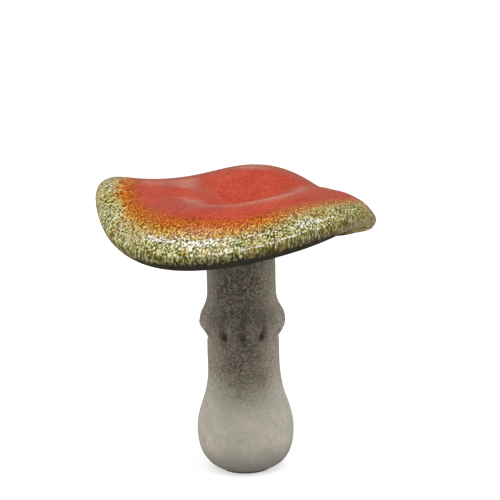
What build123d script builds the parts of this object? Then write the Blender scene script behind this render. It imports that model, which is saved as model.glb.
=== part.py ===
from build123d import *
import os
from math import cos, pi, radians, sin, tan

# Stoneware mushroom ornament in two hollow castings: a wavy glazed cap that sits loosely on the spigot
# of a plain stem, with a soft ring between them and a felt ring under the foot.
# Millimetres and degrees, +Z up. The origin is on the stem's axis, in the plane that the ornament
# stands on. The front view looks along +Y, with +X to the right.

# Felt ring under the foot
FELT_THICKNESS = 1.5
FELT_MARGIN = 1.2  # from the felt's edges to the edges of the foot and of the drain hole

# Stem: heights are above the foot's own face
FOOT_RADIUS = 22.5
FOOT_FLARE = 22.0  # how steeply the bulb leaves the foot
BULB_RADIUS = 40.0
BULB_HEIGHT = 32.0
WAIST_RADIUS = 29.5
WAIST_HEIGHT = 90.0
SKIRT_RADIUS = 35.5
SKIRT_FOOT_HEIGHT = 111.0  # where the skirt leaves the waist
SKIRT_FLARE = 45.0  # how steeply it leaves the waist
SKIRT_HEIGHT = 124.0  # its widest line
SKIRT_TOP_HEIGHT = 151.0  # where it has run out into the neck
NECK_RADIUS = 28.0
SHOULDER_HEIGHT = 186.5
SHOULDER_ROUND = 2.0
SPIGOT_RADIUS = 19.0
SPIGOT_LENGTH = 14.0
SPIGOT_ROUND = 2.0
STEM_WALL = 6.0
FOOT_WALL = 8.0
DRAIN_RADIUS = 10.0
DENT_COUNT = 12  # thumb dents pressed into the skirt's lower slope
DENT_RADIUS = 5.0
DENT_DEPTH = 1.5
DENT_RISE = 4.0  # from the skirt's foot up to the dents

# Soft ring between the stem's shoulder and the cap
RING_THICKNESS = 2.0
RING_MARGIN = 1.5  # from the neck's edge to the ring's outer edge
RING_CLEARANCE = 0.5  # round the spigot
RING_ROUND = 0.5

# Cap: heights are above its seat, radii are from the stem's axis
CAP_RADIUS = 113.0  # mean reach of the rim's edge
CAP_WALL = 5.0
SOCKET_CLEARANCE = 1.0  # round the spigot
SOCKET_CHAMFER = 1.0
SEAT_LAND = 2.0  # flat seat outside the neck
DISH_FLOOR_RADIUS = 8.0
DISH_FLOOR_HEIGHT = 30.0
LIP_RADIUS = 62.0  # the crown of the raised ridge round the dish
LIP_HEIGHT = 46.5
LIP_FOLLOW = 0.37  # share of the rim's waves that the lip takes up
EDGE_HEIGHT = 26.5  # mean height of the rim's edge
BROW_INSET = 25.0  # from the rim's edge in to the slope between lip and rim
BROW_SHARE = 0.62  # that slope's height, as a share of the way from the rim's roll up to the lip
ROLL_DEPTH = 20.0  # the rim's round edge: its depth inwards, and its rise and fall
ROLL_RISE = 12.0
ROLL_FALL = 13.0
ROLL_ANGLE = 60.0  # where the roll is met by the slope above it and by the underside
UNDER_RADII = (82.0, 53.0)  # two circles of the underside
UNDER_SHARES = (0.65, 0.18)  # their heights, as shares of the way from the seat to the roll's foot
# The rim's waves at twelve compass points, counter-clockwise from +X: outwards, and up
WAVES_OUT = (-2, -6, -11, -1.5, 3, 2, 1.5, 4.5, 10.5, 4.5, 2, -4.5)
WAVES_UP = (-8.5, -13.5, 6.5, 9, -2, 6.5, 17, -4.5, -13, -9.5, -1, 2)
SKIN_RINGS = 24  # closed rings that carry the cap's skin

# Levels of the assembly
FOOT_LEVEL = FELT_THICKNESS
SHOULDER_LEVEL = FOOT_LEVEL + SHOULDER_HEIGHT
SPIGOT_LEVEL = SHOULDER_LEVEL + SPIGOT_LENGTH
SEAT_LEVEL = SHOULDER_LEVEL + RING_THICKNESS

os.makedirs("parts", exist_ok=True)


def stem_point(radius, height):
    """A point of the stem's section, at a height above its foot."""
    return (radius, FOOT_LEVEL + height)


def slope(angle):
    """A direction in a section, at an angle above the horizontal."""
    return (cos(radians(angle)), sin(radians(angle)))


def hand_in(piece, name):
    """Names a finished piece and writes its file."""
    piece.part.label = name
    export_step(piece.part, f"parts/{name}.step")


# Felt ring
with BuildPart() as foot_felt:
    with BuildSketch():
        Circle(FOOT_RADIUS - FELT_MARGIN)
        Circle(DRAIN_RADIUS + FELT_MARGIN, mode=Mode.SUBTRACT)
    extrude(amount=FELT_THICKNESS)
hand_in(foot_felt, "foot_felt")

# Stem: bulb, waist, skirt and neck in one turned outline, then its hollow, drain hole and dents
with BuildPart() as stem:
    with BuildSketch(Plane.XZ):
        with BuildLine():
            foot = Line(stem_point(0, 0), stem_point(FOOT_RADIUS, 0))
            bulb = Spline(
                foot @ 1,
                stem_point(BULB_RADIUS, BULB_HEIGHT),
                stem_point(WAIST_RADIUS, WAIST_HEIGHT),
                tangents=(slope(FOOT_FLARE), slope(90), slope(90)),
            )
            waist = Line(bulb @ 1, stem_point(WAIST_RADIUS, SKIRT_FOOT_HEIGHT))
            skirt = Spline(
                waist @ 1,
                stem_point(SKIRT_RADIUS, SKIRT_HEIGHT),
                stem_point(NECK_RADIUS, SKIRT_TOP_HEIGHT),
                tangents=(slope(SKIRT_FLARE), slope(90), slope(90)),
            )
            neck = Line(skirt @ 1, stem_point(NECK_RADIUS, SHOULDER_HEIGHT))
            shoulder = Line(neck @ 1, (SPIGOT_RADIUS, SHOULDER_LEVEL))
            spigot = Line(shoulder @ 1, (SPIGOT_RADIUS, SPIGOT_LEVEL))
            Polyline(spigot @ 1, (0, SPIGOT_LEVEL), foot @ 0)
        make_face()
    revolve(axis=Axis.Z)
    rounded = stem.edges().filter_by(GeomType.CIRCLE)
    fillet(rounded.filter_by_position(Axis.Z, SPIGOT_LEVEL, SPIGOT_LEVEL), SPIGOT_ROUND)
    shoulder_edges = stem.edges().filter_by_position(Axis.Z, SHOULDER_LEVEL, SHOULDER_LEVEL)
    fillet(shoulder_edges.sort_by(SortBy.RADIUS)[-1], SHOULDER_ROUND)
    with BuildSketch(Plane.XZ):
        with BuildLine():
            floor = Line(stem_point(0, FOOT_WALL), stem_point(FOOT_RADIUS, FOOT_WALL))
            belly = Spline(
                floor @ 1,
                stem_point(BULB_RADIUS - STEM_WALL, BULB_HEIGHT),
                stem_point(WAIST_RADIUS - STEM_WALL, WAIST_HEIGHT),
                tangents=(slope(FOOT_FLARE), slope(90), slope(90)),
            )
            throat = Line(belly @ 1, (NECK_RADIUS - STEM_WALL, SHOULDER_LEVEL - STEM_WALL))
            Polyline(
                throat @ 1,
                (SPIGOT_RADIUS - STEM_WALL, SHOULDER_LEVEL - STEM_WALL),
                (SPIGOT_RADIUS - STEM_WALL, SPIGOT_LEVEL - STEM_WALL),
                (0, SPIGOT_LEVEL - STEM_WALL),
                floor @ 0,
            )
        make_face()
    revolve(axis=Axis.Z, mode=Mode.SUBTRACT)
    with Locations((0, 0, FOOT_LEVEL + FOOT_WALL)):
        Hole(DRAIN_RADIUS, depth=FOOT_WALL)
    dent_slope = WAIST_RADIUS + DENT_RISE / tan(radians(SKIRT_FLARE))
    with Locations((0, 0, FOOT_LEVEL + SKIRT_FOOT_HEIGHT + DENT_RISE)):
        with PolarLocations(dent_slope + DENT_RADIUS - DENT_DEPTH, DENT_COUNT):
            Sphere(DENT_RADIUS, mode=Mode.SUBTRACT)
hand_in(stem, "stem")

# Soft ring round the spigot
with BuildPart() as cap_seat_ring:
    with BuildSketch(Plane.XY.offset(SHOULDER_LEVEL)):
        Circle(NECK_RADIUS - SHOULDER_ROUND - RING_MARGIN)
        Circle(SPIGOT_RADIUS + RING_CLEARANCE, mode=Mode.SUBTRACT)
    extrude(amount=RING_THICKNESS)
    fillet(cap_seat_ring.edges().filter_by(GeomType.CIRCLE), RING_ROUND)
hand_in(cap_seat_ring, "cap_seat_ring")


# Cap: at each compass point a section runs from the dish over the rim and back to the seat, and the
# skin is lofted through closed rings that lie at equal shares of the way along those sections
def cap_section(wave_out, wave_up):
    """The skin's section at one compass point, in radius and height above the seat."""
    reach = CAP_RADIUS + wave_out
    edge = EDGE_HEIGHT + wave_up
    lip = LIP_HEIGHT + LIP_FOLLOW * wave_up
    roll = radians(ROLL_ANGLE)
    roll_radius = reach - ROLL_DEPTH * (1 - cos(roll))
    roll_top = edge + ROLL_RISE * sin(roll)
    roll_foot = edge - ROLL_FALL * sin(roll)
    stations = [(DISH_FLOOR_RADIUS, DISH_FLOOR_HEIGHT)]
    for share in (1 / 3, 2 / 3):
        swell = (1 - cos(pi * share)) / 2
        stations.append((share * LIP_RADIUS, DISH_FLOOR_HEIGHT + swell * (lip - DISH_FLOOR_HEIGHT)))
    stations.append((LIP_RADIUS, lip))
    stations.append((reach - BROW_INSET, roll_top + BROW_SHARE * (lip - roll_top)))
    stations.append((roll_radius, roll_top))
    stations.append((reach, edge))
    stations.append((roll_radius, roll_foot))
    for radius, share in zip(UNDER_RADII, UNDER_SHARES):
        stations.append((radius, share * (edge - ROLL_FALL)))
    stations.append((NECK_RADIUS + SEAT_LAND, 0))
    with BuildLine(Plane.XZ) as section:
        Spline(*stations, tangents=(slope(0), slope(180)))
    return section.edge()


def cap_form(inset):
    """The closed form inside the cap's skin, with the skin moved inwards by inset."""
    sections = [cap_section(wave_out, wave_up) for wave_out, wave_up in zip(WAVES_OUT, WAVES_UP)]
    turn = 360 / len(sections)
    rings = []
    for step in range(SKIN_RINGS):
        share = step / (SKIN_RINGS - 1)
        ring = []
        for index, section in enumerate(sections):
            inwards = (section % share).rotate(Axis.Y, 90)
            spot = section @ share + inset * inwards + Vector(0, 0, SEAT_LEVEL)
            ring.append(spot.rotate(Axis.Z, index * turn))
        even = [index / len(sections) for index in range(len(sections) + 1)]
        rings.append(Wire([Edge.make_spline(ring, periodic=True, parameters=even)]))
    return Solid.make_loft(rings)


cap_outside = cap_form(0)
cap_hollow = cap_form(CAP_WALL)
with BuildPart() as cap:
    add(cap_outside)
    add(cap_hollow, mode=Mode.SUBTRACT)
    with Locations((0, 0, SEAT_LEVEL + CAP_WALL)):
        Hole(SPIGOT_RADIUS + SOCKET_CLEARANCE, depth=CAP_WALL)
    socket_mouth = cap.edges().filter_by(GeomType.CIRCLE).sort_by(Axis.Z)[0]
    chamfer(socket_mouth, SOCKET_CHAMFER)
hand_in(cap, "cap")
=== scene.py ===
import math
import bpy
import numpy as np
from mathutils import Matrix, Vector
from mathutils.bvhtree import BVHTree


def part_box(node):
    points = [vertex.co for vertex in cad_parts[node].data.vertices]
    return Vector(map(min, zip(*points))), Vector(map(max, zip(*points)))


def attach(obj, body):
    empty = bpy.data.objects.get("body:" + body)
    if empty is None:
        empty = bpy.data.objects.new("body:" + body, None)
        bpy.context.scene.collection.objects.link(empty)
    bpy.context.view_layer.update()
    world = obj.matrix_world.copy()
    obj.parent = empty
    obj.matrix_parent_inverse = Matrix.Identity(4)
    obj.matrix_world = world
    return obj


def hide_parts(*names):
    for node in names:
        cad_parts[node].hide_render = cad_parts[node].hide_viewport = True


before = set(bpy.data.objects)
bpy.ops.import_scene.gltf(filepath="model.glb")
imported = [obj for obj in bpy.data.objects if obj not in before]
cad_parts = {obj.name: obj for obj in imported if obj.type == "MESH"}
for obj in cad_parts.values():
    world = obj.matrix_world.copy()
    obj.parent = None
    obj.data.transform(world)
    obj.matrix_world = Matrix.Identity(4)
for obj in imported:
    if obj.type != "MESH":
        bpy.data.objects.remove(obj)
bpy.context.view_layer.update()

# Felt ring
# A ring of pressed wool felt, die-cut and glued under the foot so that the bare clay doesn't scratch a
# shelf. Its cut edges are a little fluffy, so they wander.
FELT_COLUMNS = 180
FELT_EDGE_ROUND = 0.0004
FELT_EDGE_POINTS = 5
FELT_FLUFF = 0.00012
FELT_FLUFF_SEED = 3
FELT_FIBRE = 0.0007
FELT_TUFT = 6 * FELT_FIBRE
FELT_NAP = 0.0004
FELT_GREYS = ((52, 49, 46), (104, 98, 92))


def srgb(red, green, blue):
    """A colour as a painter would read it off a chart, 0 to 255, in the shader's linear scale."""
    linear = [((c / 255 + 0.055) / 1.055) ** 2.4 if c > 10 else c / 3295 for c in (red, green, blue)]
    return (*linear, 1.0)


class Flow:
    """A value on its way through a node tree. Sums on it add Math nodes, and node() adds any other."""

    def __init__(self, tree, socket=None):
        self.tree = tree
        self.socket = socket

    def node(self, kind, settings=(), inputs=(), output=0):
        """Adds a node: its settings first, then the values or links of its sockets."""
        made = self.tree.nodes.new(kind)
        for name, value in dict(settings).items():
            setattr(made, name, value)
        self.plug(made, inputs)
        return Flow(self.tree, made.outputs[output])

    def plug(self, made, inputs):
        """Links flows to a node's sockets, and sets plain values on them."""
        for name, value in dict(inputs).items():
            if isinstance(value, Flow):
                self.tree.links.new(value.socket, made.inputs[name])
            else:
                made.inputs[name].default_value = value

    def maths(self, operation, *values):
        return self.node("ShaderNodeMath", {"operation": operation}, enumerate(values))

    def __add__(self, other):
        return self.maths("ADD", self, other)

    __radd__ = __add__

    def __sub__(self, other):
        return self.maths("SUBTRACT", self, other)

    def __rsub__(self, other):
        return self.maths("SUBTRACT", other, self)

    def __mul__(self, other):
        return self.maths("MULTIPLY", self, other)

    __rmul__ = __mul__

    def __pow__(self, other):
        return self.maths("POWER", self, other)

    def __abs__(self):
        return self.maths("ABSOLUTE", self)

    def cosine(self):
        return self.maths("COSINE", self)

    def step(self, start, end):
        """0 at start and 1 at end, with a soft run between."""
        settings = {"interpolation_type": "SMOOTHSTEP"}
        return self.node("ShaderNodeMapRange", settings, {"Value": self, "From Min": start, "From Max": end})

    def paint(self, under, over):
        """One colour where this is 0 and another where it is 1, each a flow or a reading off the chart."""
        under, over = (colour if isinstance(colour, Flow) else srgb(*colour) for colour in (under, over))
        return self.node("ShaderNodeMix", {"data_type": "RGBA"}, {0: self, 6: under, 7: over}, 2)

    def vector(self, operation, other):
        return self.node("ShaderNodeVectorMath", {"operation": operation}, {0: self, 1: other})

    def scaled(self, size):
        """A vector, made longer or shorter."""
        return self.node("ShaderNodeVectorMath", {"operation": "SCALE"}, {0: self, "Scale": size})

    def axes(self):
        """A vector's three parts: across, away and up."""
        return [self.node("ShaderNodeSeparateXYZ", {}, {0: self}, axis) for axis in range(3)]

    def turn(self):
        """The angle round the upright axis at which a vector points."""
        across, away, _ = self.axes()
        return self.maths("ARCTAN2", away, across)

    def place(self):
        """Where a point lies on its piece."""
        return self.node("ShaderNodeTexCoord", output=3)

    def noise(self, size, detail=2.0, where=None, output=0):
        """Cloudy noise with lumps of that size."""
        inputs = {"Vector": where or self.place(), "Scale": 1 / size, "Detail": detail}
        return self.node("ShaderNodeTexNoise", {}, inputs, output)

    def ripple(self, size, detail=2.0, where=None):
        """The same noise about zero, half above it and half below."""
        return self.noise(size, detail, where) - 0.5

    def bump(self, height, depth):
        """A normal for relief of that depth, where height runs from 0 to 1."""
        return self.node("ShaderNodeBump", {}, {"Height": height, "Distance": depth, "Strength": 1.0})


def new_finish(name):
    """A new material, a flow through its nodes, and its shader."""
    material = bpy.data.materials.new(name)
    material.use_nodes = True
    return material, Flow(material.node_tree), material.node_tree.nodes["Principled BSDF"]


def once_round(columns):
    """Angles that go once round in even steps."""
    return np.linspace(0, 2 * np.pi, columns, endpoint=False)


def turned(radius, height, turns):
    """Points at a radius and a height, for each of the turns."""
    radius, height, turns = np.broadcast_arrays(radius, height, turns)
    return np.stack([radius * np.cos(turns), radius * np.sin(turns), height], -1)


def turned_mesh(name, points, ring=False):
    """A closed mesh from rows of points that each go once round: a ring, or a skin between two poles."""
    rows, columns = points.shape[:2]
    here = np.arange(columns)
    after = np.roll(here, -1)
    faces = []
    for row in range(rows if ring else rows - 1):
        low = row * columns
        high = (row + 1) % rows * columns
        faces += np.stack([low + here, high + here, high + after, low + after], 1).tolist()
    vertices = points.reshape(-1, 3).tolist()
    if not ring:
        for row, order in ((0, (0, 1, 2)), (rows - 1, (0, 2, 1))):
            pole = len(vertices)
            vertices.append(points[row].mean(0).tolist())
            fan = np.stack([np.full(columns, pole), row * columns + here, row * columns + after], 1)
            faces += fan[:, order].tolist()
    mesh = bpy.data.meshes.new(name)
    mesh.from_pydata(vertices, [], faces)
    mesh.shade_smooth()
    return mesh


def new_piece(name, mesh, material):
    """An object of that mesh, in the scene, with its finish."""
    piece = bpy.data.objects.new(name, mesh)
    bpy.context.scene.collection.objects.link(piece)
    mesh.materials.clear()
    mesh.materials.append(material)
    return piece


def felt_finish():
    material, flow, shader = new_finish("grey_felt")
    fibres = flow.noise(FELT_FIBRE, 6.0)
    tufts = flow.noise(FELT_TUFT, 3.0)
    flow.plug(shader, {
        "Base Color": (0.6 * fibres + 0.4 * tufts).step(0.3, 0.7).paint(*FELT_GREYS),
        "Roughness": 0.95,
        "Sheen Weight": 0.3,
        "Normal": flow.bump(fibres, FELT_NAP),
    })
    return material


def felt_ring():
    """The ring's section, a flat strip with rounded edges, turned once round."""
    low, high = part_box("foot_felt")
    spread = [math.hypot(v.co.x, v.co.y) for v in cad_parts["foot_felt"].data.vertices]
    inner, outer = min(spread), max(spread)
    section = []
    for radius, height, start in (
        (outer, high.z, 90), (outer, low.z, 0), (inner, low.z, -90), (inner, high.z, -180)
    ):
        out = -1 if radius == outer else 1
        up = 1 if height == low.z else -1
        for angle in np.radians(np.linspace(start, start - 90, FELT_EDGE_POINTS)):
            section.append((
                radius + out * FELT_EDGE_ROUND + FELT_EDGE_ROUND * math.cos(angle),
                height + up * FELT_EDGE_ROUND + FELT_EDGE_ROUND * math.sin(angle),
            ))
    section = np.array(section)
    draw = np.random.default_rng(FELT_FLUFF_SEED)
    fluff = FELT_FLUFF * draw.random((len(section), FELT_COLUMNS))
    inwards = np.where(section[:, 0] > (inner + outer) / 2, -1, 1)
    return turned(section[:, :1] + inwards[:, None] * fluff, section[:, 1:], once_round(FELT_COLUMNS))


felt = new_piece("foot_felt_ring", turned_mesh("foot_felt_ring", felt_ring(), ring=True), felt_finish())
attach(felt, "stem")
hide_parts("foot_felt")

# Stem
# A hollow stoneware casting, left unglazed. A dark oxide wash is sponged on from the neck down and fades
# out above the pale bulb. The skirt is pressed in with the thumb all round, and a drain hole is in the foot.
SPIGOT_RADIUS = 0.019
SPIGOT_ROUND = 0.002
NECK_RADIUS = 0.028
SHOULDER_ROUND = 0.002
STEM_WALL = 0.006
FOOT_RADIUS = 0.0225
FOOT_WALL = 0.008
DRAIN_RADIUS = 0.010
# Rows of the skin, and the rays onto the CAD piece that find them
STEM_COLUMNS = 288
STEM_STEP = 0.0011
FOOT_BAND = 0.004  # above the foot's face, where the rows lie closer
POLE_GAP = 0.001  # from the axis to the first row and to the last
EDGE_GAP = 0.00005  # from an edge to the rows on its two sides
FLOOR_GAP = 0.003  # from the hollow's floor to the first row of its wall
RAY_TURN = 0.0031  # keeps the rays off the seams between the CAD faces
RAY_CLEARANCE = 0.02  # above and below the piece, where upright rays start
RAY_OUTSIDE = 0.06  # from the axis, where level rays start
FLOOR_RAY = 0.01  # above the hollow's floor, where the rays onto it start
THROAT_RAY = 0.03  # below the shoulder, where the rays up the hollow start
# Folds and dents of the skirt, as heights and as reaches along the height
FOLDS = 12
SKIRT_HEIGHT = 0.1225
SKIRT_REACH = 0.014
SKIRT_CORE = 0.002
PINCH_FOOT = (0.1100, 0.1155)
PINCH_TOP = (0.1265, 0.1185)
DENT_HEIGHT = 0.1165
DENT_REACH = 0.0066
DENT_CORE = 0.0005
STREAK_FOOT = (0.112, 0.118)
STREAK_TOP = (0.150, 0.126)
# The relief fades in outside the hollow, below the shoulder and above the foot's face
RELIEF_OUTSIDE = (0.0025, 0.0045)
RELIEF_BELOW = (0.001, 0.012)
RELIEF_ABOVE = (0.0005, 0.006)
# Levels where the wash fades in, where it is at its mean depth, and where the painted shade at the foot comes
# in
WASH_FADE = (0.053, 0.094)
WASH_MIDDLE = 0.14
FOOT_FADE = (0.034, 0.004)
# Sizes of the clay's lumps and grains, and the depth of the finest of them
FOLD_SWAY = 0.03
FOLD_PATCH = 0.022
CASTING_GRAIN = 0.0032
CLAY_CLOUD = 0.016
CLAY_BLOTCH = 0.005
SPONGE_GRAIN = 0.0020
CLAY_PIT = 0.0019
CLAY_GRIT = 0.0016
CLAY_DEPTH = 0.0006
# Colours, pairs from the shaded to the light or from the thin to the deep
BULB_CLAY = ((172, 168, 155), (201, 193, 180))
BULB_FRONT_SHADE = (148, 142, 130)
FOOT_SHADE = (138, 132, 123)
WASH_BROWN = ((156, 149, 134), (66, 58, 46))
SPONGE_LIGHT = (152, 144, 130)
PIT_DARK = (50, 42, 35)
DENT_DARK = (56, 48, 41)
BLACK = (0, 0, 0)
WHITE = (255, 255, 255)


def cast_onto(node, starts, ways):
    """Where rays meet a CAD node's skin, for arrays of starts and directions."""
    starts, ways = np.broadcast_arrays(starts, ways)
    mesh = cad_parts[node].data
    skin = BVHTree.FromPolygons([v.co for v in mesh.vertices], [p.vertices for p in mesh.polygons])
    flat = zip(starts.reshape(-1, 3), ways.reshape(-1, 3))
    hits = [skin.ray_cast(Vector(start), Vector(way))[0] for start, way in flat]
    return np.array(hits, float).reshape(starts.shape)


def stem_rays():
    """Rays onto the stem, from the spigot's top down the outside, under the foot and up the hollow: each
    the radius and the height of its start, and then of its way."""
    low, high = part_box("stem")
    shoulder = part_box("cap_seat_ring")[0].z
    floor = low.z + FOOT_WALL
    ceiling = shoulder - STEM_WALL
    throat = NECK_RADIUS - STEM_WALL
    crown = SPIGOT_RADIUS - STEM_WALL
    above, below = high.z + RAY_CLEARANCE, low.z - RAY_CLEARANCE
    rounding = 1 - np.sin(np.radians(np.linspace(15, 70, 5)))
    rays = []

    def down(radii, start):
        rays.extend((radius, start, 0, -1) for radius in radii)

    def up(radii, start):
        rays.extend((radius, start, 0, 1) for radius in radii)

    def inwards(heights):
        rays.extend((RAY_OUTSIDE, height, -1, 0) for height in heights)

    def outwards(heights):
        rays.extend((0, height, 1, 0) for height in heights)

    down(np.linspace(POLE_GAP, SPIGOT_RADIUS - SPIGOT_ROUND, 8), above)
    down(SPIGOT_RADIUS - SPIGOT_ROUND * rounding, above)
    inwards(np.linspace(high.z - SPIGOT_ROUND, shoulder + EDGE_GAP, 10))
    down(np.linspace(SPIGOT_RADIUS + EDGE_GAP, NECK_RADIUS - SHOULDER_ROUND, 6), above)
    down(NECK_RADIUS - SHOULDER_ROUND * rounding, above)
    inwards(np.arange(shoulder - SHOULDER_ROUND, low.z + FOOT_BAND, -STEM_STEP))
    inwards(np.linspace(low.z + FOOT_BAND, low.z + 2 * EDGE_GAP, 14))
    up(np.linspace(FOOT_RADIUS - EDGE_GAP, DRAIN_RADIUS + EDGE_GAP, 6), below)
    outwards(np.linspace(low.z + EDGE_GAP, floor - EDGE_GAP, 5))
    down(np.linspace(DRAIN_RADIUS + EDGE_GAP, FOOT_RADIUS, 5), floor + FLOOR_RAY)
    outwards(np.linspace(floor + FLOOR_GAP, ceiling - EDGE_GAP, 30))
    up(np.linspace(throat - EDGE_GAP, crown + EDGE_GAP, 4), shoulder - THROAT_RAY)
    outwards(np.linspace(ceiling + EDGE_GAP, high.z - STEM_WALL - EDGE_GAP, 4))
    up(np.linspace(crown - EDGE_GAP, POLE_GAP, 5), shoulder - THROAT_RAY)
    return np.array(rays, float)


def stem_casting():
    """The stem's skin, cast from its rays once round."""
    turns = RAY_TURN + once_round(STEM_COLUMNS)
    radius, height, out, up = stem_rays().T[:, :, None]
    points = cast_onto("stem", turned(radius, height, turns), turned(out, up, turns))
    return turned_mesh("stem_casting", points)


def relief(name, sizes, build):
    """A tree that moves a skin's points along its normals, by a height that build works out of its sizes."""
    tree = bpy.data.node_groups.new(name, "GeometryNodeTree")
    tree.interface.new_socket("Geometry", in_out="INPUT", socket_type="NodeSocketGeometry")
    tree.interface.new_socket("Geometry", in_out="OUTPUT", socket_type="NodeSocketGeometry")
    identifiers = {}
    for size, value in sizes.items():
        kind = "NodeSocketMaterial" if size == "Finish" else "NodeSocketFloat"
        socket = tree.interface.new_socket(size, in_out="INPUT", socket_type=kind)
        identifiers[socket.identifier] = value
    given = tree.nodes.new("NodeGroupInput")
    inputs = {socket.name: Flow(tree, socket) for socket in given.outputs if socket.name}
    flow = Flow(tree)
    offset = flow.node("GeometryNodeInputNormal").scaled(build(flow, inputs))
    moved = flow.node("GeometryNodeSetPosition", {}, {"Geometry": inputs["Geometry"], "Offset": offset})
    real = flow.node("GeometryNodeRealizeInstances", {}, {"Geometry": moved})
    done = flow.node("GeometryNodeSetMaterial", {}, {"Geometry": real, "Material": inputs["Finish"]})
    flow.plug(tree.nodes.new("NodeGroupOutput"), {"Geometry": done})
    return tree, identifiers


def with_relief(piece, tree, identifiers):
    """Makes the relief part of a piece's own mesh."""
    modifier = piece.modifiers.new("relief", "NODES")
    modifier.node_group = tree
    for identifier, value in identifiers.items():
        modifier[identifier] = value
    solid = piece.evaluated_get(bpy.context.evaluated_depsgraph_get())
    plain = piece.data
    piece.data = bpy.data.meshes.new_from_object(solid)
    piece.modifiers.clear()
    piece.data.name = plain.name
    bpy.data.meshes.remove(plain)


def stem_relief(flow, sizes):
    """Casting waves, sponge grain, the pinch under the skirt, and the folds that the thumb leaves in it."""
    place = flow.node("GeometryNodeInputPosition")
    across, away, level = place.axes()
    turn = place.turn()
    sway = flow.ripple(FOLD_SWAY, 1.0, place)
    groove = (FOLDS * turn + 2.5 * sway).cosine() * 0.5 + 0.5
    skirt = abs(level - SKIRT_HEIGHT).step(SKIRT_REACH, SKIRT_CORE)
    uneven = flow.noise(FOLD_PATCH, 1.0, place).step(0.25, 0.75)
    folds = groove**3 * skirt * (0.4 + 0.6 * uneven) * sizes["Fold depth"]
    pinch = level.step(*PINCH_FOOT) * level.step(*PINCH_TOP) * (0.7 - 0.3 * turn.cosine())
    waves = sway * sizes["Wave height"]
    grain = flow.ripple(CASTING_GRAIN, 3.0, place) * sizes["Grain height"]

    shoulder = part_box("cap_seat_ring")[0].z
    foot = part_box("stem")[0].z
    spread = flow.maths("SQRT", across * across + away * away)
    outside = (spread - (NECK_RADIUS - STEM_WALL)).step(*RELIEF_OUTSIDE)
    between = (shoulder - level).step(*RELIEF_BELOW) * (level - foot).step(*RELIEF_ABOVE)
    return outside * between * (waves + grain - folds - pinch * sizes["Pinch depth"])


def clay_finish():
    material, flow, shader = new_finish("washed_clay")
    place = flow.place()
    level = place.axes()[2]
    turn = place.turn()
    cloud = flow.ripple(CLAY_CLOUD, 4.0)
    blotch = flow.ripple(CLAY_BLOTCH, 3.0)
    sponge = flow.ripple(SPONGE_GRAIN, 2.5)
    facing = (2 * turn + math.pi).cosine()  # 1 in front and behind, -1 at the sides

    # Pale bulb, with painted shade: greyer in front and behind, and darker towards the foot
    pale = (0.5 + 1.4 * cloud + 1.0 * blotch + 0.9 * sponge).step(0.0, 1.0).paint(*BULB_CLAY)
    pale = (0.4 * facing.step(-0.7, 1.0)).paint(pale, BULB_FRONT_SHADE)
    pale = level.step(*FOOT_FADE).paint(pale, FOOT_SHADE)

    # Brown wash, deeper towards the neck, with painted shade that darkens it in front, behind and on the left
    # side, and the sponge's light grains and dark pits
    wash = (level + 0.020 * cloud + 0.014 * blotch + 0.005 * facing).step(*WASH_FADE)
    depth_and_shade = facing - 0.25 * turn.cosine() + 1.2 * cloud + 1.3 * blotch + 0.7 * sponge
    depth_and_shade = depth_and_shade + 7.5 * (level - WASH_MIDDLE)
    colour = wash.paint(pale, depth_and_shade.step(-1.5, 1.2).paint(*WASH_BROWN))
    light = (0.5 + 1.7 * sponge + 0.5 * blotch).step(0.2, 0.9)
    colour = (light * (0.2 + 0.8 * wash) * 0.5).paint(colour, SPONGE_LIGHT)
    pits = (flow.noise(CLAY_PIT, 1.0) + 0.25 * blotch).step(0.62, 0.72)
    colour = (pits * (0.03 + 0.42 * wash)).paint(colour, PIT_DARK)
    grit = (0.5 + 2.2 * flow.ripple(CLAY_GRIT, 1.5) + 0.8 * blotch).paint(BLACK, WHITE)
    overlay = {"data_type": "RGBA", "blend_type": "OVERLAY"}
    colour = flow.node("ShaderNodeMix", overlay, {0: 0.05 + 0.30 * wash, 6: colour, 7: grit}, 2)

    # Wash that pooled in the dents, and that settled in streaks above them
    dent = (FOLDS * turn).cosine() * 0.5 + 0.5
    uneven = flow.noise(FOLD_PATCH, 1.0).step(0.25, 0.75)
    pooled = abs(level - DENT_HEIGHT + 0.003 * cloud).step(DENT_REACH, DENT_CORE)
    pooled = (dent + 1.5 * blotch).step(0.3, 1.05) * pooled * (0.25 + 0.75 * uneven)
    settled = dent.step(0.6, 1.0) * (level + 0.03 * cloud).step(*STREAK_TOP) * level.step(*STREAK_FOOT)
    settled = settled * facing.step(-0.3, 0.7) * (0.3 + 0.7 * uneven)
    colour = (0.62 * pooled + 0.75 * settled).paint(colour, DENT_DARK)
    height = 0.5 + 0.5 * sponge + 0.4 * blotch - 0.4 * pits
    flow.plug(shader, {
        "Base Color": colour,
        "Roughness": 0.88,
        "Specular IOR Level": 0.25,
        "Normal": flow.bump(height, CLAY_DEPTH),
    })
    return material


clay = clay_finish()
stem = new_piece("stem_casting", stem_casting(), clay)
stem_sizes = {
    "Fold depth": 0.0024,
    "Pinch depth": 0.0019,
    "Wave height": 0.0010,
    "Grain height": 0.00022,
    "Finish": clay,
}
with_relief(stem, *relief("pressed_clay", stem_sizes, stem_relief))
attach(stem, "stem")
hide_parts("stem")

# Seat ring
# A soft ring of pressed cork and rubber that lies on the stem's shoulder, so that the loose cap sits
# without grinding or rattling. It is cut from sheet and keeps its plain shape.
CORK_GRAIN = 0.0016
CORK_DEPTH = 0.0003
RUBBER_GRAIN = 0.0025
CORK_BROWNS = ((128, 88, 52), (196, 152, 104))
RUBBER_BROWN = (70, 48, 32)


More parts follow.
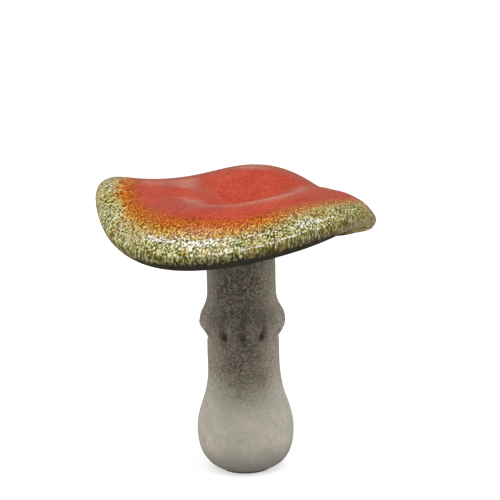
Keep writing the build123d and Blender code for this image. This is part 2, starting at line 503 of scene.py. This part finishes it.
def cork_finish():
    material, flow, shader = new_finish("pressed_cork")
    cells = {"Vector": flow.place(), "Scale": 1 / CORK_GRAIN}
    shade = flow.node("ShaderNodeTexVoronoi", {}, cells, 1)
    tone = flow.node("ShaderNodeSeparateColor", {}, {0: shade})
    rubber = flow.noise(RUBBER_GRAIN).step(0.56, 0.62)
    flow.plug(shader, {
        "Base Color": rubber.paint(tone.paint(*CORK_BROWNS), RUBBER_BROWN),
        "Roughness": 0.9,
        "Normal": flow.bump(tone - rubber, CORK_DEPTH),
    })
    return material


ring_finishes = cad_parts["cap_seat_ring"].data.materials
ring_finishes.clear()
ring_finishes.append(cork_finish())

# Cap
# A hollow stoneware casting with a flat seat and a round socket underneath. It is dipped in a red glaze
# that breaks through orange into a crackled olive and cream run round the rim; the underside stays bare.
SOCKET_RADIUS = 0.020
SOCKET_CHAMFER = 0.001
CAP_WALL = 0.005
# Rays that trace the skin: upright onto the dish and the underside, and in a fan onto the rim
CAP_COLUMNS = 540
TOP_RAYS = 100
RIM_RAYS = 150
UNDER_RAYS = 80
CORE_RADIUS = 0.086  # a ring inside the rim that the fan points at
FAN_REACH = 0.08  # from that ring out to the fan's starts
FAN_ANGLE = 88  # degrees up and down from the level
AXIS_GAP = 0.0005
# Rows of the skin, as lengths along it
TOP_LENGTH = 0.118  # from the dish's middle to the rim's edge
UNDER_LENGTH = 0.100  # and from there to the seat
RIM_BAND = 0.046  # above the edge, where the rows lie closer
ROLL_BAND = 0.022  # and below it
RIM_STEP = 0.0010
DISH_STEP = 0.0019
UNDER_STEP = 0.0026
HOLLOW_SKIP = 7  # rows of the outside to one of the hollow
# How far small steps are evened out, in rows and columns
TRACE_EVEN = 2.0
ROWS_EVEN = 1.2
RUN_EVEN = 3.0
RED_EVEN = 12.0
# What the soft clay did as it dried: turn and spread round the cap in degrees, middle and reach along the
# skin from the rim's edge, and how far it rose or sank
SAGS = (
    (-0.9, 29, -0.0179, 0.0122, 0.0042),  # the underside of the thin right tip
    (-0.9, 29, 0.0058, 0.0226, -0.0052),  # that tip's top
    (184, 34, 0.060, 0.017, -0.0050),  # the lip's left fold
    (-15, 29, 0.043, 0.009, -0.0011),  # the crest behind the tip
    (-15, 29, 0.016, 0.0075, 0.0012),  # the slope outside that crest
)
TIP_EDGE = (-0.9, 29, 0, 0.014)
TIP_DRAW = 0.0013  # how far that edge was drawn in
# Where the glaze turns red, in millimetres from the rim's edge, counter-clockwise from the right
RED_EDGE = (
    18, 20, 22, 24, 26, 28, 30, 32, 32, 34, 36, 40, 41, 36, 39, 43.5, 41, 36, 31, 36, 35, 29.5, 23, 19.5
)
# Shares of the way from the rim's edge to the red
ORANGE_SHARE = 0.65
RIM_SHARE = (0.95, 0.6)  # where the rim's run glaze fades in
POLE_SHARES = (3.0, -5.0)  # at the dish's middle, and in the hollow
HOLLOW_RUN = -0.2  # what the hollow counts as: far below the rim's edge
# The run glaze is laid out on a drum, drawn out along it above and below one level
NOMINAL_RADIUS = 0.113
STREAK_LINE = 0.004
DRAWN_ABOVE = 0.85
DRAWN_BELOW = 0.45
# Two arrises along the rim's front, which painted highlight lines follow too: their distance from the rim's
# edge at the left and right ends
DRIP_LINE = (0.0014, 0.0055)
UPPER_LINE = (0.0150, 0.0095)
LINE_ENDS = (math.radians(-108), math.radians(-48))
LINE_MIDDLE = math.radians(-75)
LINE_SWAY = 0.005
HIGHLIGHT_LINE_WIDTH = 0.0010
ARRIS_WIDTH = 0.0035
# Patches of painted glints: turn and reach in degrees, distance from the rim's edge and reach along the skin
PAINTED_GLINT_PATCHES = (
    (-105, 9, 0.0125, 0.0050),
    (-121, 12, 0.0165, 0.0055),
    (-62, 8, 0.0118, 0.0048),
)
# Sides of the cap that the glaze differs on
RIGHT_TURN = math.radians(-50)
OCHRE_TURN = math.radians(-38)
TIP_TURN = math.radians(-12)
TIP_COVER = 0.026  # how much further under the glaze runs at the tip
TIP_GLOSS = 0.006  # and how much further its gloss does
GLAZE_STOP = (-0.003, -0.0095)  # below the rim's edge, where the glaze ends
RELIEF_STOP = (-0.024, -0.016)  # and where its relief has faded out
# Sizes of the glaze's grains and patches, and the depth of the finest of them
GRAIN = 0.0013
BEAD = 2 * GRAIN
MOTTLE = 0.0026
SPECK = 0.0011
GLAZE_CLOUD = 0.02
GLAZE_PATCH = 0.009
RUST_PATCH = 0.011
VEIL_PATCH = 0.008
STREAK = 0.0022
PEEL = 0.006
HIGHLIGHT_LINE_BREAK = 0.006
LINE_WAVE = 0.025
BARE_GRAIN = 0.0014
GLAZE_DEPTH = 0.00016
# Colours, pairs from the dark to the light
SCARLET = ((168, 46, 30), (202, 82, 58))
ORANGE = ((138, 54, 2), (202, 102, 12))
ORANGE_GRAIN = (234, 156, 56)
MUSTARD = ((104, 70, 2), (200, 140, 22))
MUSTARD_GRAIN = (240, 204, 104)
SEAM = ((64, 68, 20), (98, 84, 26))
OLIVE = ((156, 160, 96), (188, 164, 84))
CREAM = ((220, 218, 162), (244, 240, 210))
RUST = (168, 104, 38)
VEIL = (164, 158, 120)
PAINTED_GLINT = (246, 244, 234)
PAINTED_SHEEN_OCHRE = (202, 156, 112)
DRIP_DARK_AND_SHADE = (64, 66, 28)
EDGE_SHADE = (30, 32, 14)
PAINTED_ARRIS_HIGHLIGHT = (248, 245, 234)
BARE_EDGE = ((34, 33, 26), (58, 55, 46))
BARE_CLAY = ((78, 71, 61), (116, 108, 96))


def smooth_round(values, spread):
    """Evens out small steps along both ways of a grid that goes once round."""
    reach = int(3 * spread)
    weights = np.exp(-0.5 * (np.arange(-reach, reach + 1) / spread) ** 2)
    weights /= weights.sum()
    round_way = sum(w * np.roll(values, k - reach, 1) for k, w in enumerate(weights))
    padded = np.concatenate([round_way[:1]] * reach + [round_way] + [round_way[-1:]] * reach)
    return sum(w * padded[k:k + len(values)] for k, w in enumerate(weights))


def cap_trace(turns):
    """The cap's section at each turn, as radius and height, traced from the dish over the rim to the seat."""
    low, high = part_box("cap")
    above, below = high.z + RAY_CLEARANCE, low.z - RAY_CLEARANCE

    def trace(radius, height, out, up):
        """Rays given by the radius and height of their start and of their way, and their hits likewise."""
        hits = cast_onto("cap", turned(radius, height, turns), turned(out, up, turns))
        return np.stack([np.hypot(hits[..., 0], hits[..., 1]), hits[..., 2]], 2)

    top = trace(np.linspace(AXIS_GAP, CORE_RADIUS, TOP_RAYS)[:, None], above, 0.0, -1.0)
    mouth = SOCKET_RADIUS + SOCKET_CHAMFER + EDGE_GAP
    under = trace(np.linspace(CORE_RADIUS, mouth, UNDER_RAYS)[:, None], below, 0.0, 1.0)
    core = (top[-1, :, 1] + under[0, :, 1]) / 2
    fan = np.radians(np.linspace(FAN_ANGLE, -FAN_ANGLE, RIM_RAYS))[:, None]
    out, up = np.cos(fan), np.sin(fan)
    rim = trace(CORE_RADIUS + FAN_REACH * out, core + FAN_REACH * up, -out, -up)
    return smooth_round(np.concatenate([top, rim, under]), TRACE_EVEN)


def even_rows(section, steps):
    """A section's points, spread anew so that the rows lie at the given lengths along it."""
    length = np.concatenate([[0], np.cumsum(np.hypot(*np.diff(section, axis=0).T))])
    share = steps / steps[-1] * length[-1]
    return np.stack([np.interp(share, length, section[:, k]) for k in (0, 1)], 1), share


def cap_rows(turns):
    """Rows of the outer skin, and how far each point lies above the rim's edge, or below it as minus."""
    traced = cap_trace(turns)
    rim_start = TOP_LENGTH - RIM_BAND
    top_steps = np.concatenate([
        np.arange(0, rim_start, DISH_STEP),
        np.arange(rim_start, TOP_LENGTH, RIM_STEP),
    ])
    under_steps = np.concatenate([
        np.arange(0, ROLL_BAND, RIM_STEP),
        np.arange(ROLL_BAND, UNDER_LENGTH, UNDER_STEP),
    ])
    rows, run = [], []
    for turn in range(len(turns)):
        section = traced[:, turn]
        nose = int(section[:, 0].argmax())
        top, along = even_rows(section[:nose + 1], top_steps)
        under, beyond = even_rows(section[nose:], under_steps)
        rows.append(np.concatenate([top, under[1:]]))
        run.append(np.concatenate([along[-1] - along, -beyond[1:]]))
    return smooth_round(np.stack(rows, 1), ROWS_EVEN), smooth_round(np.stack(run, 1), RUN_EVEN)


def with_sags(rows, run, turns):
    """The skin after drying, when parts of it sank or rose and the right tip's edge was drawn in."""

    def band(turn, spread, middle, reach):
        off = (turns - math.radians(turn) + np.pi) % (2 * np.pi) - np.pi
        return np.exp(-((off / math.radians(spread)) ** 2) - ((run - middle) / reach) ** 2)

    rise = sum(height * band(*place) for *place, height in SAGS)
    return rows + np.stack([-TIP_DRAW * band(*TIP_EDGE), rise], 2)


def inner_rows(rows):
    """The hollow's skin, one wall inside the outer skin, from the socket's mouth back to the dish."""
    along = np.gradient(rows, axis=0)
    along /= np.linalg.norm(along, axis=2, keepdims=True)
    inside = rows + CAP_WALL * np.stack([along[..., 1], -along[..., 0]], 2)
    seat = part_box("cap_seat_ring")[1].z
    mouth = np.array([[SOCKET_RADIUS, seat + SOCKET_CHAMFER], [SOCKET_RADIUS, seat + CAP_WALL]])
    mouth = mouth[:, None, :] * np.ones((1, rows.shape[1], 1))
    return np.concatenate([mouth, inside[:-2:HOLLOW_SKIP][::-1]])


def red_edge(turns):
    """How far in from the rim's edge the red begins, in metres, round the cap."""
    compass = np.linspace(0, 2 * np.pi, len(RED_EDGE) + 1)
    return np.interp(turns, compass, np.array(RED_EDGE + RED_EDGE[:1]) / 1000)


def cap_casting():
    """The cap's skin. Its points store what the glaze follows: how far they lie from the rim's edge, that as
    a share of the way to the red, and their place on the drum that the run glaze is laid out on."""
    turns = RAY_TURN + once_round(CAP_COLUMNS)
    outer, run = cap_rows(turns)
    outer = with_sags(outer, run, turns)
    inner = inner_rows(outer)
    section = np.concatenate([outer, inner])
    mesh = turned_mesh("cap_casting", turned(section[..., 0], section[..., 1], turns))
    run = np.concatenate([run, np.full(inner.shape[:2], HOLLOW_RUN)])
    poles = (run[0, 0], HOLLOW_RUN)
    edge = smooth_round(np.repeat(red_edge(turns)[None], len(run), 0), RED_EVEN)
    for name, values, ends in (("run", run, poles), ("share", run / edge, POLE_SHARES)):
        attribute = mesh.attributes.new(name, "FLOAT", "POINT")
        attribute.data.foreach_set("value", np.append(values.ravel(), ends).astype(np.float32))
    drawn = np.where(run > STREAK_LINE, DRAWN_ABOVE, DRAWN_BELOW) * (run - STREAK_LINE)
    wound = turned(NOMINAL_RADIUS, drawn, turns).reshape(-1, 3)
    wound = np.concatenate([wound, [[0, 0, pole] for pole in poles]])
    attribute = mesh.attributes.new("wound", "FLOAT_VECTOR", "POINT")
    attribute.data.foreach_set("vector", wound.astype(np.float32).ravel())
    return mesh


def grains(flow, wound):
    """The run glaze's light and dark grains, drawn out down the rim: 0 in the dark seams, 1 on the grains."""
    warp = flow.noise(3 * GRAIN, 2.0, wound, 1).vector("SUBTRACT", (0.5, 0.5, 0.5)).scaled(1.6 * GRAIN)
    cells = {"Vector": wound.vector("ADD", warp), "Scale": 0.8 / GRAIN, "Smoothness": 0.35}
    near = flow.node("ShaderNodeTexVoronoi", {"feature": "SMOOTH_F1"}, cells)
    return 0.5 + 1.1 * flow.ripple(GRAIN, 2.0, wound) + 0.8 * (0.42 - near)


def line_level(turn, line):
    """How far a line along the rim's front lies from its edge, from its left end to its right end."""
    return line[0] + (line[1] - line[0]) * turn.step(*LINE_ENDS)


def front_line(flow, run, wound, line, width):
    """A thin line along the front of the rim: 1 on it, 0 beside it."""
    turn = wound.turn()
    off = run - line_level(turn, line) + LINE_SWAY * flow.ripple(LINE_WAVE, 3.0, wound)
    return abs(off).step(width, 0.0) * (turn - LINE_MIDDLE).cosine().step(0.72, 0.93)


def glaze_relief(flow, sizes):
    """Beads of run glaze on the rim, orange peel on the red, and two arrises along the rim's front."""

    def named(name, kind):
        return flow.node("GeometryNodeInputNamedAttribute", {"data_type": kind}, {"Name": name})

    run, share, wound = named("run", "FLOAT"), named("share", "FLOAT"), named("wound", "FLOAT_VECTOR")
    place = flow.node("GeometryNodeInputPosition")
    glazed = run.step(*RELIEF_STOP)
    beads = flow.ripple(BEAD, 1.0, wound) * (share.step(*RIM_SHARE) * glazed) * sizes["Bead height"]
    peel = flow.ripple(PEEL, 2.0, place) * glazed * sizes["Peel height"]
    arrises = sum(front_line(flow, run, wound, line, ARRIS_WIDTH) for line in (DRIP_LINE, UPPER_LINE))
    return beads + peel + arrises * sizes["Line height"]


def glaze_finish():
    material, flow, shader = new_finish("red_breaking_glaze")

    def stored(name, output):
        return flow.node("ShaderNodeAttribute", {"attribute_name": name}, {}, output)

    run, share, wound = stored("run", 2), stored("share", 2), stored("wound", 1)
    turn = wound.turn()
    mottle = flow.ripple(MOTTLE, 3.0)
    fine = flow.ripple(SPECK)
    cloud = flow.ripple(GLAZE_CLOUD)
    patch = flow.ripple(GLAZE_PATCH, where=wound)
    streaks = flow.ripple(STREAK, where=wound)

    # Sides of the cap: the right front and the left, the ochre front, and the tip, where the glaze runs under
    lean = (turn - RIGHT_TURN).cosine()
    left = lean.step(0.1, -0.6)
    ochre = (turn - OCHRE_TURN).cosine().step(0.70, 0.95)
    tip = (turn - TIP_TURN).cosine().step(0.78, 0.95)
    edge_run = run + TIP_COVER * tip

    # Grains, narrower below the drip line, coarser in patches, lighter at the left and darker at the right
    low = (run - line_level(turn, DRIP_LINE) + 0.004 * streaks).step(0.0012, -0.0012)
    narrow = grains(flow, wound.vector("MULTIPLY", (1.25, 1.25, 0.9))) - 0.03
    coarse = 0.75 * (0.2 + 0.5 * left + 1.8 * patch).step(0.1, 0.9)
    grain = grains(flow, wound) * (1 - low) + narrow * low
    grain = grain * (1 - coarse) + grains(flow, wound.scaled(0.6)) * coarse
    grain = grain + 0.02 * lean.step(0.2, -0.6) - 0.04 * lean.step(0.6, 1.0)

    # The red and yellow glazes
    scarlet = (0.5 + 1.2 * mottle + 0.9 * fine + 0.7 * cloud).step(0.05, 0.95).paint(*SCARLET)
    tone = grain + 0.5 * fine
    orange = tone.step(0.55, 0.85).paint(tone.step(0.25, 0.6).paint(*ORANGE), ORANGE_GRAIN)
    mustard = tone.step(0.52, 0.8).paint(tone.step(0.22, 0.55).paint(*MUSTARD), MUSTARD_GRAIN)

    # The rim's glaze: dark seams, olive with rusty patches, cream grains, paler grey-green patches, and
    # painted glints
    seam = (0.5 + 2.0 * patch).step(0.2, 0.8).paint(*SEAM)
    olive = (0.5 + 1.6 * patch + 0.8 * mottle).step(0.1, 0.9).paint(*OLIVE)
    cream = (0.5 + 1.6 * cloud + 1.0 * fine).step(0.1, 0.9).paint(*CREAM)
    rust = (flow.noise(RUST_PATCH, where=wound) + 0.3 * mottle).step(0.54, 0.66)
    olive = (0.7 * rust).paint(olive, RUST)
    rim = (grain + 0.25 * fine).step(0.25, 0.50).paint(seam, olive)
    rim = (grain + 0.4 * fine).step(0.45, 0.70).paint(rim, cream)
    veil = flow.noise(VEIL_PATCH, where=wound).step(0.46, 0.62) * (0.20 + 0.35 * left)
    rim = veil.paint(rim, VEIL)
    # Painted highlight: near-white glints on the grains in a few patches along the rim's front
    painted_glints = sum(
        abs(turn - math.radians(middle)).step(math.radians(reach), math.radians(0.4 * reach))
        * abs(run - level + 0.010 * patch).step(height, 0.4 * height)
        for middle, reach, level, height in PAINTED_GLINT_PATCHES
    )
    painted_glints = painted_glints * (grain + 0.5 * fine + 0.5 * mottle).step(0.30, 0.54)
    rim = (0.85 * painted_glints).paint(rim, PAINTED_GLINT)

    # From the rim to the red, with crumbs of one glaze in the next
    crumbs = share + 0.42 * mottle + 0.28 * fine
    seams = crumbs - 0.25 * (grain - 0.5)
    mustard_start = (seams - 0.14 * left - 0.20 * ochre).step(ORANGE_SHARE - 0.26, ORANGE_SHARE - 0.02)
    orange_start = (seams - 0.12 * ochre).step(ORANGE_SHARE - 0.08, ORANGE_SHARE + 0.18)
    scarlet_start = (crumbs + 0.3 * (grain - 0.5)).step(0.9, 1.12)
    glaze = mustard_start.paint(rim, mustard)
    glaze = orange_start.paint(glaze, orange)
    glaze = scarlet_start.paint(glaze, scarlet)
    orange_zone = share.step(0.45, 0.6) * share.step(1.2, 0.95)
    # Painted sheen: the orange band at the right front paled towards ochre
    glaze = (0.14 * ochre * orange_zone).paint(glaze, PAINTED_SHEEN_OCHRE)

    # Darker below the drip line, partly darker drips and partly painted shade; painted shade towards the
    # edge, where the rim turns under; and painted highlight lines, broken, along the arrises
    glaze = (0.30 * low + 0.40 * edge_run.step(-0.003, -0.011)).paint(glaze, DRIP_DARK_AND_SHADE)
    shaded = (edge_run + 0.018 * streaks).step(0.002, -0.0085)
    glaze = (0.95 * shaded).paint(glaze, EDGE_SHADE)
    highlight_lines = sum(front_line(flow, run, wound, line, HIGHLIGHT_LINE_WIDTH) for line in (DRIP_LINE, UPPER_LINE))
    broken = (0.5 * flow.noise(HIGHLIGHT_LINE_BREAK, where=wound) + 0.5 * grain + 0.4 * fine).step(0.36, 0.6)
    glaze = (0.95 * highlight_lines * broken).paint(glaze, PAINTED_ARRIS_HIGHLIGHT)
    beads = share.step(*RIM_SHARE) * (1.3 * grain * (1 - 0.8 * highlight_lines) + 1.6 * highlight_lines)
    flow.plug(shader, {
        "Base Color": glaze,
        "Roughness": 0.13 + 0.08 * (mottle + 0.5) + 0.10 * orange_zone,
        "Specular IOR Level": 0.42,
        "Normal": flow.bump(0.4 * fine + 0.3 * mottle + beads, GLAZE_DEPTH),
    })

    # Bare clay underneath, darker next to the glaze, and a dull coat of glaze under the tip
    bare = flow.noise(BARE_GRAIN).step(0.3, 0.7).paint(*BARE_EDGE)
    plain = (0.5 + 1.4 * mottle + 1.2 * cloud).step(0.1, 0.9).paint(*BARE_CLAY)
    bare = (run + 0.02 * cloud).step(-0.030, -0.066).paint(bare, plain)
    bare = (edge_run + 0.014 * streaks).step(*GLAZE_STOP).paint(glaze, bare)
    dull_inputs = {"Base Color": bare, "Roughness": 0.9, "Specular IOR Level": 0.1}
    dull = flow.node("ShaderNodeBsdfPrincipled", {}, dull_inputs)
    glossy = Flow(flow.tree, shader.outputs[0])
    gloss_stop = (run + TIP_GLOSS * tip + 0.014 * streaks).step(*GLAZE_STOP)
    covered = flow.node("ShaderNodeMixShader", {}, {0: gloss_stop, 1: glossy, 2: dull})
    flow.plug(flow.tree.nodes["Material Output"], {"Surface": covered})
    return material


glaze = glaze_finish()
cap = new_piece("cap_casting", cap_casting(), glaze)
cap_sizes = {"Bead height": 0.00035, "Peel height": 0.00018, "Line height": 0.00030, "Finish": glaze}
with_relief(cap, *relief("run_glaze", cap_sizes, glaze_relief))
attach(cap, "cap")
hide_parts("cap")

# Studio
# A white floor without a horizon, soft light from all round, a few lamps for the glaze, and a grey tent that
# shows only in its reflections. The camera stands as the photograph's did, 15 degrees above the level.
VIEW_HEIGHT = math.radians(15)
VIEW_ROLL = math.radians(1.8)
VIEW_DISTANCE = 1.3
VIEW_AIM = Vector((0, 0, 0.115))
VIEW_START = 0.01
PIXEL = 0.0008185
IMAGE = 500
FOOT_PIXEL = Vector((247, 465))
FLOOR_WHITE = (0.9, 0.9, 0.9, 1)
FLOOR_LIFT = 0.5
FLOOR_REACH = 60.0
WORLD_WHITE = (1, 1, 1, 1)
WORLD_LIGHT = 0.70
# The tent's section as radius and height, and its pale panel: levels, and the side and gap it ends at
TENT_COLUMNS = 64
TENT_SECTION = ((0.2, 0.003), (2.2, 0.003), (0.45, 2.3), (0.12, 2.4))
TENT_FADE = (0.2, 1.0)
TENT_GREYS = ((164, 146, 130), (150, 138, 128))
PANEL_FOOT = (0.25, 0.45)
PANEL_TOP = (0.95, 0.70)
PANEL_SIDE = (0.18, 0.02)
PANEL_PALE = (232, 218, 200)
GAP_AWAY = (0.9, 1.3)
GAP_ACROSS = (-0.01, -0.09)
# Lamps: name, place, width, height, watts, and whether the glaze mirrors them
LAMP_AIM = Vector((0, 0, 0.2))
LAMPS = (
    ("front_strip", (0.15, -0.72, 1.36), 1.3, 0.08, 4, True),
    ("left_lamp", (-0.29, -0.10, 1.40), 0.12, 0.22, 2.2, True),
    ("right_lamp", (0.52, 0.16, 1.40), 0.14, 0.14, 1.7, True),
    ("right_box", (1.2, -0.7, 0.7), 0.6, 0.8, 3, False),
    ("left_box", (-1.2, -0.8, 0.5), 0.6, 0.8, 3, False),
)


def photo_camera():
    camera = bpy.data.cameras.new("photo_camera")
    holder = bpy.data.objects.new("photo_camera", camera)
    bpy.context.scene.collection.objects.link(holder)
    back = Vector((0, -math.cos(VIEW_HEIGHT), math.sin(VIEW_HEIGHT)))
    facing = (-back).to_track_quat("-Z", "Y").to_matrix().to_4x4()
    place = Matrix.Translation(VIEW_AIM + VIEW_DISTANCE * back)
    holder.matrix_world = place @ facing @ Matrix.Rotation(-VIEW_ROLL, 4, "Z")
    focal = VIEW_DISTANCE / PIXEL
    camera.lens = focal / IMAGE * camera.sensor_width
    camera.clip_start = VIEW_START
    foot = holder.matrix_world.inverted() @ Vector((0, 0, 0))
    centre = Vector((IMAGE / 2 - focal * foot.x / foot.z, IMAGE / 2 + focal * foot.y / foot.z))
    camera.shift_x = (centre.x - FOOT_PIXEL.x) / IMAGE
    camera.shift_y = (FOOT_PIXEL.y - centre.y) / IMAGE
    bpy.context.scene.camera = holder


def seen_directly(flow):
    """1 where the camera sees a surface itself, or sees it mirrored or through glass, and 0 for its light."""
    path = flow.tree.nodes.new("ShaderNodeLightPath").outputs
    names = ("Is Camera Ray", "Is Glossy Ray", "Is Transmission Ray")
    itself, mirrored, through = (Flow(flow.tree, path[name]) for name in names)
    return flow.maths("MAXIMUM", itself, flow.maths("MAXIMUM", mirrored, through))


def studio_floor():
    material, flow, shader = new_finish("white_floor")
    flow.plug(shader, {
        "Base Color": FLOOR_WHITE,
        "Roughness": 1.0,
        "Specular IOR Level": 0.0,
        "Emission Color": seen_directly(flow).paint(BLACK, WHITE),
        "Emission Strength": FLOOR_LIFT,
    })
    mesh = bpy.data.meshes.new("floor")
    corners = [(x * FLOOR_REACH, y * FLOOR_REACH, 0) for x, y in ((-1, -1), (1, -1), (1, 1), (-1, 1))]
    mesh.from_pydata(corners, [], [(0, 1, 2, 3)])
    new_piece("floor", mesh, material)


def studio_world():
    world = bpy.data.worlds.new("studio")
    world.use_nodes = True
    bpy.context.scene.world = world
    flow = Flow(world.node_tree)
    strength = WORLD_LIGHT + (1 - WORLD_LIGHT) * seen_directly(flow)
    flow.plug(world.node_tree.nodes["Background"], {"Color": WORLD_WHITE, "Strength": strength})


def grey_tent():
    """A tent of grey cloth round the object that keeps white glare off the glaze."""
    material, flow, shader = new_finish("grey_cloth")
    across, away, level = flow.place().axes()
    panel = level.step(*PANEL_FOOT) * level.step(*PANEL_TOP) * across.step(*PANEL_SIDE)
    gap = away.step(*GAP_AWAY) * across.step(*GAP_ACROSS)
    grey = level.step(*TENT_FADE).paint(*TENT_GREYS)
    flow.plug(shader, {
        "Base Color": (panel * (1 - gap)).paint(grey, PANEL_PALE),
        "Roughness": 1.0,
        "Specular IOR Level": 0.0,
    })
    radius, height = np.array(TENT_SECTION).T[:, :, None]
    mesh = turned_mesh("grey_tent", turned(radius, height, once_round(TENT_COLUMNS)))
    tent = new_piece("grey_tent", mesh, material)
    tent.visible_camera = False
    tent.visible_diffuse = False
    tent.visible_shadow = False


def soft_lamp(name, place, width, height, watts, mirrored):
    """An area lamp that faces the cap."""
    lamp = bpy.data.lights.new(name, "AREA")
    lamp.shape = "RECTANGLE"
    lamp.size = width
    lamp.size_y = height
    lamp.energy = watts
    holder = bpy.data.objects.new(name, lamp)
    holder.visible_glossy = mirrored
    bpy.context.scene.collection.objects.link(holder)
    facing = (LAMP_AIM - Vector(place)).to_track_quat("-Z", "Y").to_matrix().to_4x4()
    holder.matrix_world = Matrix.Translation(place) @ facing


photo_camera()
studio_floor()
studio_world()
grey_tent()
for lamp in LAMPS:
    soft_lamp(*lamp)
bpy.context.scene.view_settings.view_transform = "Standard"
